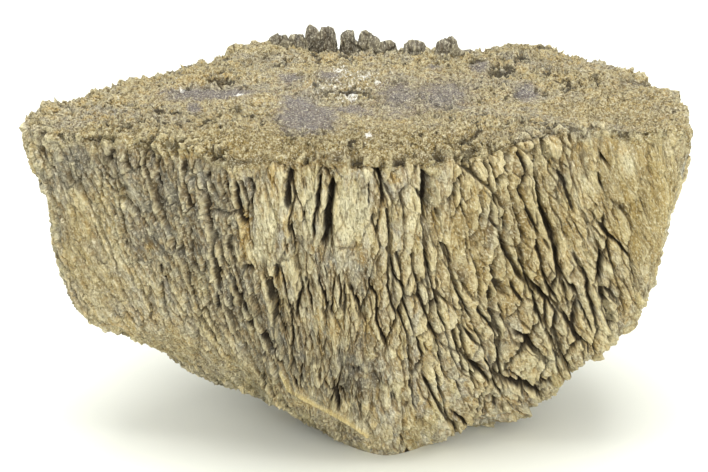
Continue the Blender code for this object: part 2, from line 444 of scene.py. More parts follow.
def sponge(x, y):
    """Relief of the broken spongy bone in mm, and where its pores are.

    Each layer's struts stand where smooth noise crosses zero, and its pores lie where the noise
    is far from it. Loose crumbs lie on them, and broad swells below.
    """
    wander_x, wander_y = (SPONGE_WANDER_MM * cloud(x / 3, y / 4, seed) for seed in (71, 72))
    height = clouds(x, y, SPONGE_SWELL)
    wear_and_painted_highlight = 1 - WORN_SHARE * eased(*WORN_RANGE, cloud(x / 15, y / 11, 75))
    x, y = x + wander_x, y + wander_y
    pores = np.zeros(x.shape)
    for size, step, seed in SPONGE_LAYERS:
        strut = 1 - 2 * np.abs(cloud(x / size, y / (STRUT_STRETCH * size), seed)) ** STRUT_POWER
        height += wear_and_painted_highlight * step * strut
        pores = np.maximum(pores, wear_and_painted_highlight * eased(*PORE_RANGE, -strut))
    _, border, _, luck = cells(x, y, CRUMB_MM, CRUMB_STRETCH * CRUMB_MM, 111)
    crumb = eased(*CRUMB_LUCK, luck) * (1 - bell(border, CRUMB_EDGE_MM))
    return height + CRUMB_HIGH_MM * crumb, pores * (1 - crumb)


# Marks that stand out on the front, by where they show in the picture: half width in pixels,
# size in mm, then the line that each follows downwards.
CLEFTS_PX = (
    (3.0, 3.6, (332, 176), (329, 205), (325, 240), (322, 250)),
    (1.4, 2.2, (320, 172), (316, 205), (312, 242)),
    (2.4, 1.8, (288, 164), (288, 190), (287, 212)),
    (4.0, 2.4, (424, 164), (425, 195), (423, 228)),
    (0.8, 1.4, (370, 185), (369, 207)), (0.8, 1.4, (381, 210), (376, 238)),
    (0.8, 1.2, (403, 190), (400, 208)), (0.9, 1.5, (339, 272), (340, 310)),
    (0.9, 1.2, (325, 267), (327, 284)),
    (1.1, 2.0, (390, 246), (395, 278), (404, 291), (404, 304), (413, 327), (414, 340)),
    (0.8, 1.4, (413, 268), (406, 290)), (1.0, 1.8, (411, 344), (410, 386), (416, 412)),
    (1.0, 1.8, (420, 233), (431, 275), (436, 300), (448, 335), (460, 381)),
    (0.8, 1.4, (450, 246), (454, 275)), (0.8, 1.4, (465, 230), (470, 265)),
    (1.0, 1.7, (462, 273), (458, 288), (468, 310), (480, 335), (490, 371)),
    (0.9, 1.5, (450, 288), (463, 335), (468, 366)),
    (1.4, 1.9, (475, 259), (478, 287), (481, 312), (495, 331), (500, 365), (503, 402)),
    (1.3, 1.9, (511, 233), (524, 271), (532, 293), (538, 317), (545, 336)),
    (1.0, 1.3, (545, 336), (552, 345), (558, 370), (563, 380)),
    (0.9, 1.4, (543, 274), (561, 312)), (0.8, 1.3, (501, 304), (508, 333)),
    (0.9, 1.4, (562, 281), (570, 313)), (1.0, 1.5, (578, 299), (593, 334)),
    (1.2, 1.8, (432, 364), (445, 404), (449, 422)),
    (1.0, 1.8, (456, 318), (470, 368), (476, 394)), (0.9, 1.6, (480, 340), (494, 381), (503, 401)),
    (1.1, 1.4, (212, 230), (226, 269), (237, 293), (251, 318), (253, 340)),
    (2.4, 0.5, (88, 227), (113, 265), (117, 280), (142, 305)),
    (1.6, 1.4, (505, 208), (505, 236)), (1.6, 1.2, (480, 193), (480, 226)),
    (1.8, 1.4, (556, 165), (566, 190), (575, 216)),
    (1.4, 1.3, (276, 262), (275, 285)), (1.2, 1.4, (157, 172), (160, 188)),
    (1.2, 1.2, (112, 147), (111, 162)), (1.2, 1.3, (158, 262), (166, 285)),
    (1.4, 1.4, (218, 290), (216, 312)), (1.4, 1.4, (232, 292), (230, 312)),
    (1.6, 1.2, (240, 268), (257, 270)), (1.2, 1.5, (238, 315), (253, 327)),
    (1.3, 1.4, (262, 330), (272, 352)),
)
PLATES_PX = (
    (14.0, 0.8, (268, 168), (266, 225), (267, 262)), (6.5, 0.6, (309, 158), (309, 205), (310, 248)),
    (2.6, 0.5, (322, 196), (320, 245)), (19.0, 0.6, (351, 178), (352, 215), (352, 256)),
    (15.0, 0.7, (584, 142), (582, 170), (580, 198)), (16.0, 0.7, (627, 144), (627, 166), (624, 190)),
    (10.0, 0.6, (663, 141), (662, 162)), (5.0, 0.6, (411, 168), (408, 200), (412, 250)),
    (6.0, 0.6, (441, 166), (445, 205), (446, 240)),
)
# The golden ridge low on the left: its line, its height, its half width and the calm by it.
RIDGE_LINE_PX = ((281, 371), (289, 388), (302, 396), (323, 407), (338, 415), (356, 426), (368, 435))
RIDGE_LINE_MM, RIDGE_HALF_PX, RIDGE_CALM_PX = 1.0, 1.7, 5.0
# Pits: middle and reach both ways in pixels, and depth in mm.
PITS_PX = (
    (355, 163, 8, 5, 1.8), (307, 282, 3, 4, 1.2), (376, 382, 7, 16, 1.6), (354, 372, 8, 4, 1.2),
    (394, 398, 4, 8, 1.2), (495, 405, 5, 5, 1.2), (241, 270, 3, 4, 1.0), (251, 269, 3, 4, 1.0),
    (125, 244, 3, 4, 1.4), (120, 139, 4, 4, 1.4), (113, 158, 3, 4, 1.2), (153, 158, 3, 3, 1.0),
    (158, 176, 3, 5, 1.2), (193, 178, 4, 3, 1.2), (208, 176, 3, 5, 1.2), (247, 182, 5, 4, 1.4),
    (250, 190, 4, 6, 1.2), (286, 172, 3, 5, 1.2),
)
# How the marks sway, as for the grain but in pixels, and how calm the grain is by them. Then
# plates, clefts and lips, most of it as shares of their half width, their run or their size.
MARK_SWAY_PX = ((1.6, 9, 9, 201), (0.8, 3, 4, 202))
CALM_PX, CLEFT_CALM, PLATE_CALM, PIT_CRACK = 9.0, 0.4, 0.8, 0.6
PLATE_EDGES, PLATE_TILT = (0.85, 1.1), 0.3
CLEFT_TIP, CLEFT_TIP_RUN, CLEFT_WALLS, CLEFT_DARK_MM, CLEFT_DARK_WIDE = 0.35, 0.2, (0.9, 1.5), 1.6, 1.1
LIP_SHARE, LIP_OFF, LIP_WIDE = 0.25, 3.0, 2.0


def line_place(x, y, points):
    """Where points lie by a line: the distance, negative on its left, and the share of its run."""
    best, side, run = np.full(x.shape, np.inf), np.zeros(x.shape), np.zeros(x.shape)
    pieces = len(points) - 1
    for n, ((x0, y0), (x1, y1)) in enumerate(zip(points, points[1:])):
        span = (x1 - x0) ** 2 + (y1 - y0) ** 2
        share = np.clip(((x - x0) * (x1 - x0) + (y - y0) * (y1 - y0)) / span, 0, 1)
        off_x, off_y = x - x0 - share * (x1 - x0), y - y0 - share * (y1 - y0)
        distance = np.hypot(off_x, off_y)
        nearer = distance < best
        best = np.where(nearer, distance, best)
        side = np.where(nearer, np.where(off_x < 0, -distance, distance), side)
        run = np.where(nearer, (n + share) / pieces, run)
    return side, run


def traced_relief(x, y):
    """Relief in mm of the marks seen on the front, where their cracks are, and their calm.

    A cleft is a steep-sided groove, wider on its right, with a raised lip on its left; a plate
    is a flat-topped band that rises a little to its right. The loose grain is lower on a plate,
    near a cleft and in a pit.
    """
    x = x + clouds(x, y, MARK_SWAY_PX)
    height, cracks, calm = (np.zeros(x.shape) for _ in range(3))
    for half, size, *points in PLATES_PX:
        off, _ = line_place(x, y, points)
        inside = 1 - eased(PLATE_EDGES[0] * half, PLATE_EDGES[1] * half + 1, np.abs(off))
        height += size * (1 + PLATE_TILT * off / half) * inside
        calm = np.maximum(calm, PLATE_CALM * inside)
    for half, size, *points in CLEFTS_PX:
        off, run = line_place(x, y, points)
        taper = eased(0, CLEFT_TIP_RUN, run) * eased(0, CLEFT_TIP_RUN, 1 - run)
        taper = CLEFT_TIP + (1 - CLEFT_TIP) * taper
        groove = trench(off, np.where(off < 0, *CLEFT_WALLS) * half * taper)
        height += size * taper * (LIP_SHARE * bell(off + LIP_OFF * half, LIP_WIDE * half) - groove)
        # How far a point lies in a cleft or pit is painted dark later: shade with some dark earth.
        dark = taper * min(size / CLEFT_DARK_MM, 1)
        cracks = np.maximum(cracks, dark * trench(off, CLEFT_DARK_WIDE * half * taper))
        calm = np.maximum(calm, CLEFT_CALM * bell(off, CALM_PX))
    for middle_x, middle_y, reach_x, reach_y, size in PITS_PX:
        off_x, off_y = (x - middle_x) / reach_x, (y - middle_y) / reach_y
        pit = bell(off_x, 1) * bell(off_y, 1)
        height -= size * pit
        cracks = np.maximum(cracks, PIT_CRACK * pit * (1 + cloud(x / 2, y / 7, 203)))
        calm = np.maximum(calm, PLATE_CALM * bell(off_x, 2) * bell(off_y, 2))
    return height, cracks, calm


def mean_nearby(values, rows, columns):
    """The mean of a grid over a block round each point, with the edges repeated outwards."""
    for axis, reach in enumerate((rows, columns)):
        margins = [(reach + 1, reach) if n == axis else (0, 0) for n in (0, 1)]
        total = np.moveaxis(np.cumsum(np.pad(values, margins, mode="edge"), axis=axis), axis, 0)
        values = np.moveaxis(total[2 * reach + 1:] - total[:-2 * reach - 1], 0, axis) / (2 * reach + 1)
    return values


# Patches seen on the piece, in picture pixels: middle, reach both ways and strength. The
# crumbled ones are where the side is granular, and the others are tints.
PATCHES_PX = {
    "crumbled": (
        (305, 402, 14, 9, 0.9), (330, 424, 24, 11, 0.9), (356, 438, 20, 7, 0.9),
        (105, 290, 34, 30, 0.6), (170, 338, 45, 22, 0.7), (225, 366, 34, 14, 0.8), (75, 230, 14, 40, 0.5),
    ),
    "grey": (
        (190, 215, 70, 60, 1.2), (150, 165, 60, 34, 1.0), (280, 350, 36, 42, 1.0), (350, 370, 36, 34, 0.9),
        (240, 300, 32, 40, 1.1), (80, 165, 45, 34, 0.9), (365, 275, 14, 30, 0.9), (395, 300, 9, 30, 0.7),
        (560, 175, 10, 34, 0.6), (490, 220, 12, 40, 0.6),
    ),
    "ochre": (
        (244, 232, 6, 34, 1.1), (287, 227, 5, 13, 1.2), (272, 180, 4, 20, 0.9), (150, 246, 7, 5, 0.9),
        (600, 150, 70, 30, 0.5), (120, 320, 60, 20, 0.5), (330, 335, 26, 24, 0.5), (520, 370, 50, 30, 0.5),
        (655, 90, 30, 30, 0.6), (575, 65, 50, 14, 0.6), (200, 78, 60, 10, 0.6), (100, 118, 40, 14, 0.6),
        (210, 150, 70, 12, 0.9), (330, 158, 70, 11, 0.9), (440, 150, 50, 10, 0.8), (330, 60, 90, 8, 0.6),
        (360, 255, 20, 30, 0.5), (350, 310, 20, 40, 0.5), (330, 185, 5, 12, 0.9), (395, 180, 8, 10, 0.9),
    ),
    "tan": (
        (505, 240, 66, 80, 1.5), (645, 200, 60, 90, 1.4), (540, 360, 70, 50, 0.5), (85, 250, 40, 80, 0.8),
        (180, 350, 90, 26, 0.4), (350, 148, 250, 18, 1.6), (110, 135, 80, 16, 0.8), (610, 110, 80, 26, 0.7),
        (370, 300, 50, 60, 0.5),
    ),
    "pale": (
        (266, 230, 12, 42, 1.3), (309, 205, 7, 42, 1.2), (352, 215, 19, 40, 1.2),
        (410, 200, 10, 36, 0.7), (445, 215, 9, 40, 0.6), (150, 250, 3, 5, 1.1), (300, 275, 16, 24, 1.1),
        (627, 165, 16, 26, 0.8), (582, 170, 14, 30, 0.8), (600, 260, 40, 50, 0.5), (415, 275, 12, 40, 0.6),
        (500, 320, 30, 40, 0.5), (535, 370, 60, 40, 0.8),
    ),
    "dark": (
        (375, 383, 10, 18, 0.9), (350, 385, 34, 22, 0.9), (265, 350, 34, 26, 0.7), (424, 195, 6, 28, 0.9),
        (360, 415, 40, 12, 0.6), (235, 305, 24, 26, 0.7), (183, 270, 16, 26, 0.7), (120, 140, 8, 8, 0.6),
        (250, 185, 9, 9, 0.9), (290, 180, 6, 16, 0.7), (365, 275, 8, 26, 0.6), (230, 160, 60, 10, 0.8),
        (330, 162, 70, 10, 0.8), (440, 156, 50, 9, 0.7), (140, 150, 40, 10, 0.7), (500, 235, 50, 55, 0.75),
        (365, 340, 60, 50, 0.55),
    ),
    "purple": (
        (306, 119, 32, 14, 1.2), (300, 104, 20, 10, 1.0), (215, 94, 50, 7, 1.2), (194, 108, 8, 6, 0.9),
        (292, 80, 16, 5, 0.8), (330, 78, 14, 8, 0.9), (400, 98, 26, 18, 0.8), (440, 96, 40, 20, 0.7),
        (480, 68, 12, 6, 0.9), (525, 94, 14, 6, 0.9), (435, 67, 9, 4, 0.8), (350, 110, 30, 8, 0.7),
    ),
    "white": (
        (340, 70, 9, 3, 0.9), (362, 76, 14, 5, 0.8), (378, 84, 5, 4, 0.9), (350, 98, 10, 4, 0.9),
        (369, 139, 4, 7, 1.0), (182, 89, 7, 2, 1.1), (239, 97, 4, 2, 1.0), (345, 85, 40, 14, 0.45),
    ),
}
TINTS = ("grey", "ochre", "tan", "pale", "dark", "purple", "white")


def patches(name, x, y):
    """How strongly a kind of patch shows: the strongest of its bell-shaped spots."""
    return np.max([
        size * bell(x - middle_x, reach_x) * bell(y - middle_y, reach_y)
        for middle_x, middle_y, reach_x, reach_y, size in PATCHES_PX[name]
    ], axis=0)


def add_piece(name, points, quads, triangles, places, marks, material):
    """A piece of the bone from points in mm, its faces, a flat place for each corner, and marks.

    Each mark becomes a number, or three, at every point. The triangles stand inside the stone,
    flat, and keep the edge towards them sharp.
    """
    mesh = bpy.data.meshes.new(name)
    mesh.vertices.add(len(points))
    mesh.vertices.foreach_set("co", (points * MM).astype(np.float32).ravel())
    loops = np.concatenate((quads.ravel(), triangles.ravel()))
    mesh.loops.add(len(loops))
    mesh.loops.foreach_set("vertex_index", loops.astype(np.int32))
    starts = np.concatenate((np.arange(len(quads)) * 4, quads.size + np.arange(len(triangles)) * 3))
    mesh.polygons.add(len(starts))
    mesh.polygons.foreach_set("loop_start", starts.astype(np.int32))
    mesh.update(calc_edges=True)
    mesh.polygons.foreach_set("use_smooth", np.arange(len(starts)) < len(quads))
    layer = mesh.uv_layers.new(name="OFBake")
    layer.data.foreach_set("uv", places.astype(np.float32).ravel())
    for mark, values in marks.items():
        kind, entry = ("FLOAT", "value") if values.shape[-1] == 1 else ("FLOAT_VECTOR", "vector")
        attribute = mesh.attributes.new(mark, kind, "POINT")
        attribute.data.foreach_set(entry, values.astype(np.float32).ravel())
    mesh.materials.append(material)
    piece = bpy.data.objects.new(name, mesh)
    bpy.context.scene.collection.objects.link(piece)
    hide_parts("bone_section")
    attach(piece, "root")


# The columns worked out past both ends of a piece, so that marks agree where pieces meet, and
# where a piece's grid and its triangles lie on its flat map.
MARGIN = 8
GRID_FLAT_WIDE, FAN_FLAT = 0.98, ((0.985, 0.0), (0.985, 0.9), (1.0, 0.45))


def corners_of(grid):
    """The four corners of every square of a grid, in the order that faces outward."""
    return np.stack((grid[:-1, :-1], grid[1:, :-1], grid[1:, 1:], grid[:-1, 1:]), axis=2)


def fan_of(line, end):
    """Triangles from each step of a line of points to one end point."""
    return np.stack((line[:-1], line[1:], np.full(len(line) - 1, end)), axis=1)


def with_ends(marks, count):
    """Each mark as one row for every point, with rows of zeros for the points added at the end."""
    return {
        mark: np.pad(values.reshape(values.shape[0] * values.shape[1], -1), ((0, count), (0, 0)))
        for mark, values in marks.items()
    }


def add_patch(name, grid, marks, material, stands=False):
    """A closed piece from a grid of points: its border is joined to a point inside the stone.

    The grid's rows run down and its columns to the right as seen from outside, with the margin
    past both ends, which is cut off here. A piece that stands has its lowest row joined flat
    to the middle of the spot.
    """
    own = slice(MARGIN, -MARGIN)
    grid, marks = grid[:, own], {mark: values[:, own] for mark, values in marks.items()}
    rows, columns = grid.shape[:2]
    number = np.arange(rows * columns).reshape(rows, columns)
    quads = corners_of(number).reshape(-1, 4)
    heart, middle = rows * columns, rows * columns + 1
    upper, lower = np.concatenate((number[::-1, 0], number[0, 1:], number[1:, -1])), number[-1, ::-1]
    fans = [fan_of(upper, heart), fan_of(lower, middle if stands else heart)]
    ends = [HEART_MM]
    if stands:
        ends.append(np.zeros(3))
        fans.append(np.array(((heart, lower[0], middle), (middle, lower[-1], heart))))
    fans = np.concatenate(fans)
    flat = np.meshgrid(np.linspace(0, GRID_FLAT_WIDE, columns), np.linspace(1, 0, rows))
    flat = corners_of(np.stack(flat, axis=-1)).reshape(-1, 2)
    start = np.arange(len(fans)) / len(fans)
    fan_flat = [np.stack((0 * start + x, start + y / len(fans)), axis=-1) for x, y in FAN_FLAT]
    places = np.concatenate((flat, np.stack(fan_flat, axis=1).reshape(-1, 2)))
    points = np.concatenate((grid.reshape(-1, 3), np.array(ends)))
    add_piece(name, points, quads, fans, places, with_ends(marks, len(ends)), material)


# Fossilised bone: dull mineral with no shine. Along the sides it is drawn out in flakes and
# slivers, each of its own tan, cream, grey or ochre, with dark lines between them. The spongy
# top is crumbs and granules. Cracks, pores and hollows are painted near black, as shade with
# some dark earth in the cracks, and raised edges are painted cream as a highlight.
bone, tree, shader = new_material("fossilised_bone")
sources = {
    name: add_node(tree, "ShaderNodeAttribute", {"attribute_name": name}).outputs["Fac"]
    for name in ("hollow", "edge", "beside", "spongy", "golden", *TINTS)
}
for name in ("grain", "plates"):
    sources[name] = add_node(tree, "ShaderNodeAttribute", {"attribute_name": name}).outputs["Vector"]
sources["place"] = add_node(tree, "ShaderNodeTexCoord").outputs["Object"]
plates = add_node(tree, "ShaderNodeSeparateXYZ", Vector=sources["plates"])
for name, part in (("long_plate", "X"), ("plate", "Y"), ("slat", "Z")):
    sources[name] = plates.outputs[part]

# Cloudy patterns: where each is read, its size in mm across, along and through, and its detail.
CLOUDS = (
    ("speck", "grain", (0.45, 0.7, 3.0), 2.0), ("fibre", "grain", (0.6, 2.6, 8.0), 3.0),
    ("strand", "grain", (1.8, 7.0, 12.0), 3.0), ("band", "grain", (7.0, 30.0, 25.0), 3.0),
    ("patch", "place", (22.0, 22.0, 22.0), 3.0), ("stain", "place", (6.0, 6.0, 6.0), 4.0),
    ("blotch", "place", (2.6, 2.6, 2.6), 4.0), ("grit", "place", (0.45, 0.45, 0.45), 2.0),
    ("crumb", "place", (0.8, 1.8, 0.8), 2.0), ("grain_wander", "grain", (1.6, 3.5, 9.0), 2.0),
)
for name, source, size_mm, detail in CLOUDS:
    scale = [1 / (mm * MM) for mm in size_mm]
    mapping = add_node(tree, "ShaderNodeMapping", {}, {"Scale": scale}, Vector=sources[source])
    noise = add_node(tree, "ShaderNodeTexNoise", {}, {"Scale": 1.0, "Detail": detail, "Roughness": 0.62},
                     Vector=mapping.outputs["Vector"])
    sources[name] = noise.outputs["Fac"]
grain_wander = noise.outputs["Color"]

# Pieces too fine for the mesh: each pattern is read at places along the grain that the last
# cloud's three numbers move aside, and gives every piece two random numbers.
FLAKES = (("flake", (1.6, 4.0, 0.0), (1.8, 7.0)), ("sliver", (0.9, 2.0, 0.0), (0.75, 2.6)))
for name, wander_mm, size_mm in FLAKES:
    wander = [mm * MM for mm in wander_mm]
    moved = add_node(tree, "ShaderNodeVectorMath", {"operation": "MULTIPLY_ADD"}, {1: wander},
                     in_0=grain_wander, in_2=sources["grain"])
    scale = [1 / (mm * MM) for mm in size_mm] + [0.0]
    mapping = add_node(tree, "ShaderNodeMapping", {}, {"Scale": scale}, Vector=moved.outputs["Vector"])
    pieces = add_node(tree, "ShaderNodeTexVoronoi", {"voronoi_dimensions": "2D"}, {"Scale": 1.0},
                      Vector=mapping.outputs["Vector"])
    parts = add_node(tree, "ShaderNodeSeparateColor", Color=pieces.outputs["Color"])
    sources[name + "_luck"], sources[name + "_hue"] = parts.outputs["Red"], parts.outputs["Green"]
    sources[name + "_middle"] = pieces.outputs["Distance"]

# The tinted patches get frayed edges: a cloud is added before a coat follows them.
for name, cloudy, sway in (
    ("grey", "stain", 1.0), ("ochre", "blotch", 1.0), ("tan", "stain", 0.6), ("pale", "strand", 0.9),
    ("dark", "stain", 1.0), ("purple", "blotch", 1.6), ("white", "crumb", 2.6),
    ("beside", "blotch", 1.6), ("flake_middle", "fibre", -1.0),
):
    frayed = add_node(tree, "ShaderNodeMath", {"operation": "MULTIPLY_ADD"}, {1: sway},
                      in_0=sources[cloudy], in_2=sources[name])
    sources[name + "_frayed"] = frayed.outputs["Value"]

# Two colours are built up coat by coat, for the fibrous and the spongy bone. Each coat has the
# pattern that it follows, the numbers at which it starts and is full, its strength and colour.
COATS = (
    ("fibrous", "B5A77A", (
        ("warm patch", "patch", 0.47, 0.62, 0.45, "B7A469"),
        ("grey band", "band", 0.50, 0.64, 0.50, "A39B82"),
        ("ochre strand", "strand", 0.42, 0.32, 0.45, "AC965F"),
        ("cream strand", "strand", 0.56, 0.68, 0.45, "CDC295"),
        ("dark plate", "long_plate", 0.30, 0.20, 0.20, "978C6C"),
        ("grey plate", "plate", 0.36, 0.28, 0.60, "9B9A92"),
        ("cream plate", "plate", 0.64, 0.74, 0.65, "D9D0AA"),
        ("grey slat", "slat", 0.26, 0.20, 0.45, "918F87"),
        ("cream slat", "slat", 0.72, 0.78, 0.50, "DDD5B2"),
        ("ochre slat", "slat", 0.88, 0.92, 0.45, "BCA064"),
        ("brown flake", "flake_luck", 0.35, 0.05, 0.45, "8B7D60"),
        ("cream flake", "flake_luck", 0.60, 0.95, 0.50, "DAD1AD"),
        ("grey flake", "flake_hue", 0.34, 0.20, 0.45, "A09E97"),
        ("ochre flake", "flake_hue", 0.82, 0.90, 0.35, "C0A465"),
        ("brown sliver", "sliver_luck", 0.35, 0.02, 0.45, "7B6C4C"),
        ("cream sliver", "sliver_luck", 0.62, 0.98, 0.45, "E1D9B8"),
        ("ochre sliver", "sliver_hue", 0.86, 0.94, 0.40, "BA9A56"),
        ("tan tint", "tan_frayed", 0.50, 1.40, 0.75, "9F8A53"),
        ("grey tint", "grey_frayed", 0.75, 1.20, 0.80, "7C786C"),
        ("pale tint", "pale_frayed", 0.95, 1.30, 0.85, "CFC7A3"),
        ("dark tint", "dark_frayed", 0.85, 1.30, 0.75, "5F584C"),
        ("ochre tint", "ochre_frayed", 0.90, 1.30, 0.70, "B5944C"),
        ("brown fibre", "fibre", 0.46, 0.30, 0.45, "615236"),
        ("cream fibre", "fibre", 0.54, 0.70, 0.45, "D8CEA9"),
        ("rust", "beside_frayed", 1.00, 1.60, 0.50, "9E8045"),
        ("golden edge", "golden", 0.10, 0.70, 0.85, "C6B279"),
        ("brown speck", "speck", 0.46, 0.30, 0.60, "54472C"),
        ("cream speck", "speck", 0.54, 0.68, 0.55, "E8E1C4"),
        ("flake crack", "flake_middle_frayed", 0.15, 0.40, 0.60, "4A3B24"),
    )),
    ("spongy_bone", "AC9D73", (
        ("grey patch", "patch", 0.51, 0.40, 0.70, "9A9588"),
        ("ochre stain", "stain", 0.53, 0.64, 0.60, "B3985A"),
        ("brown stain", "stain", 0.47, 0.36, 0.60, "8A7D60"),
        ("ochre tint", "ochre_frayed", 0.90, 1.30, 0.70, "AD8F4E"),
        ("ochre crumb", "blotch", 0.52, 0.62, 0.50, "B99C5C"),
        ("grey crumb", "blotch", 0.47, 0.38, 0.60, "949083"),
        ("tan tint", "tan_frayed", 0.50, 1.40, 0.75, "88753F"),
        ("dark crumb", "crumb", 0.47, 0.36, 0.80, "6A5B3C"),
        ("light crumb", "crumb", 0.52, 0.62, 0.70, "CBC097"),
        ("purple tint", "purple_frayed", 1.00, 1.45, 0.80, "6E696C"),
        ("dark tint", "dark_frayed", 0.85, 1.30, 0.75, "62553A"),
        ("dark grit", "grit", 0.46, 0.32, 0.70, "483B24"),
        ("light grit", "grit", 0.54, 0.68, 0.65, "E8E1C4"),
        ("golden edge", "golden", 0.10, 0.70, 0.85, "C6B279"),
        ("white tint", "white_frayed", 1.80, 2.10, 0.85, "F0EDE2"),
    )),
)
for name, ground, coats in COATS:
    under = {}
    for coat, pattern, start, full, strength, colour in coats:
        limits = {"From Min": start, "From Max": full, "To Max": strength}
        mask = add_node(tree, "ShaderNodeMapRange", {}, limits, Value=sources[pattern])
        mix = add_node(tree, "ShaderNodeMix", {"data_type": "RGBA", "label": coat},
                       {6: linear(ground), 7: linear(colour)}, in_0=mask.outputs["Result"], **under)
        under = {"in_6": mix.outputs[2]}
    sources[name] = mix.outputs[2]
joined = add_node(tree, "ShaderNodeMix", {"data_type": "RGBA"}, in_0=sources["spongy"],
                  in_6=sources["fibrous"], in_7=sources["spongy_bone"])
# Edges that stand above their surroundings are mixed towards cream: a painted highlight.
wear_and_painted_highlight = add_node(tree, "ShaderNodeMix", {"data_type": "RGBA"}, {7: linear("DDD2A8")},
                in_0=sources["edge"], in_6=joined.outputs[2])
# Cracks, pores and hollows are mixed towards near black: painted shade, with some dark earth in the cracks.
earth_and_painted_shade = add_node(tree, "ShaderNodeMix", {"data_type": "RGBA"}, {7: linear("1D150B")},
                   in_0=sources["hollow"], in_6=wear_and_painted_highlight.outputs[2])
tree.links.new(earth_and_painted_shade.outputs[2], shader.inputs["Base Color"])
shader.inputs["Roughness"].default_value = 0.9
shader.inputs["Specular IOR Level"].default_value = 0.25

# The fine relief: heights in mm are added up for the fibrous and the spongy bone.
HEIGHTS_MM = (
    ("fibrous_height", (("strand", 0.6), ("fibre", 1.5), ("speck", 0.6))),
    ("spongy_height", (("crumb", 1.8), ("grit", 0.8))),
)
for name, parts in HEIGHTS_MM:
    under = {}
    for source, height_mm in parts:
        added = add_node(tree, "ShaderNodeMath", {"operation": "MULTIPLY_ADD"}, {1: height_mm, 2: 0.0},
                         in_0=sources[source], **under)
        under = {"in_2": added.outputs["Value"]}
    sources[name] = added.outputs["Value"]
fine_height = add_node(tree, "ShaderNodeMix", {}, {}, in_0=sources["spongy"],
                       in_2=sources["fibrous_height"], in_3=sources["spongy_height"])
bump = add_node(tree, "ShaderNodeBump", {}, {"Strength": 1.0, "Distance": MM}, Height=fine_height.outputs[0])
tree.links.new(bump.outputs["Normal"], shader.inputs["Normal"])

# How the relief changes round the piece. By the place across the grain in mm: how rough and how
# cracked the grain is, and how far down the crumbled edge of the top reaches.
ROUGH = (
    (-240, 0.8), (-120, 0.6), (-90, 0.4), (-60, 0.65), (-42, 0.8), (-30, 0.95), (48, 1.0),
    (58, 0.5), (100, 0.4), (130, 0.8), (230, 0.8),
)
CRACKED = (
    (-240, 0.1), (-120, -0.3), (-90, -0.1), (-60, 0.25), (-40, 0.25), (-10, 0.2), (10, 0.60),
    (42, 0.70), (50, 0.3), (58, -0.4), (110, -0.3), (230, 0.1),
)
SPONGE_LINE_MM = (
    (-240, 3), (-120, 2), (-95, 1.5), (-72, 2), (-58, 3), (-46, 4), (-35, 3), (-29, 0), (0, -0.5),
    (20, 0), (40, 1), (60, 2), (120, 2.5), (230, 3),
)
# By the direction at the rim in degrees: how far the rim is frayed into tufts, and by how many
# millimetres it is rounded and lifted.
TUFTED = ((-280, 0.0), (-185, 0.0), (-165, 1.0), (-50, 1.0), (-25, 0.0), (100, 0.0))
RIM_ROUND_MM = (
    (-280, 0.3), (-178, 0.4), (-160, 1.4), (-125, 2.0), (-40, 1.8), (-20, 0.8), (0, 0.3), (100, 0.3),
)
RIM_LIFT_MM = (
    (-270, 0.0), (-240, -1.2), (-225, -1.8), (-210, -1.0), (-196, 0.0), (-182, 0.4), (-172, 1.2),
    (-150, 0.3), (-25, 0.2), (-5, 0.8), (12, 0.0), (22, -1.4), (35, -0.6), (52, -0.4), (58, -1.6),
    (64, -0.8), (80, 0.0),
)
# Where things set in and are full, by the depth below the rim in mm, and reaches from the rim.
ON_SIDE, LOW, SUNK, IN_BAND, NEAR_RIM = (-1, 1), (40, 75), (0, 20), (-6, -9), (-11, -7)
CRUMBLE_REACH_MM, LIFT_REACH_MM, LUMP_REACH_MM = 4, 6, 9
LOW_LESS_CRACKED, BARK_SINK_MM, SPOT_FADE_MM, LOWEST_SHARE, VIEW_EDGE = 0.35, 0.35, 8.0, 0.35, 0.18
TUFT_MM, TUFT_WIDE_MM, TUFT_LONG_MM, TUFT_ABOVE_MM, TUFT_REACH_MM = 2.2, 1.6, 9.0, 3, 5
TUFT_RANGE, TUFT_DARK, PORE_DARK, RIM_ROUGHER = (-0.1, 0.4), 0.75, 0.6, 0.4
RIM_REACH_SHARE, RIM_CRUMBLE_MM, RIM_LUMP_MM = 1.5, 0.8, 1.2
RAGGED, SPONGE_EDGE_MM = ((2.6, 5, 5, 301), (1.5, 2, 2, 302)), (-1.5, 1.5)
# Behind, where the grain from both ways round meets, a granular strip takes over from it.
SEAM_DEG, SEAM_STRIP_DEG = (-270, 90), 6.0
# How strong the marks are and from where to where they rise. The numbers of the pieces are put
# into the grain's third place, so that the patterns start anew on each.
# Crack and hollow marks are painted dark as shade with some earth; the edge mark is a painted highlight.
CRACK_DARK, CRACK_RANGE, PAINTED_HOLLOW_SHADE, HOLLOW_MM = 0.95, (0.15, 0.85), 0.5, (0.7, 2.2)
EDGE_LIGHT, EDGE_MM, LUCK_MM = 0.40, (0.2, 1.0), (40, 25)


def relief_marks(height, cracks, rows, columns):
    """How far each point lies in a crack or a hollow, painted dark as shade and earth, or stands up on an
    edge of the relief, painted light as a highlight.
    """
    level = height - mean_nearby(height, rows, columns)
    hollow = np.maximum(CRACK_DARK * eased(*CRACK_RANGE, cracks), PAINTED_HOLLOW_SHADE * eased(*HOLLOW_MM, -level))
    return {"hollow": hollow, "edge": EDGE_LIGHT * eased(*EDGE_MM, level)}


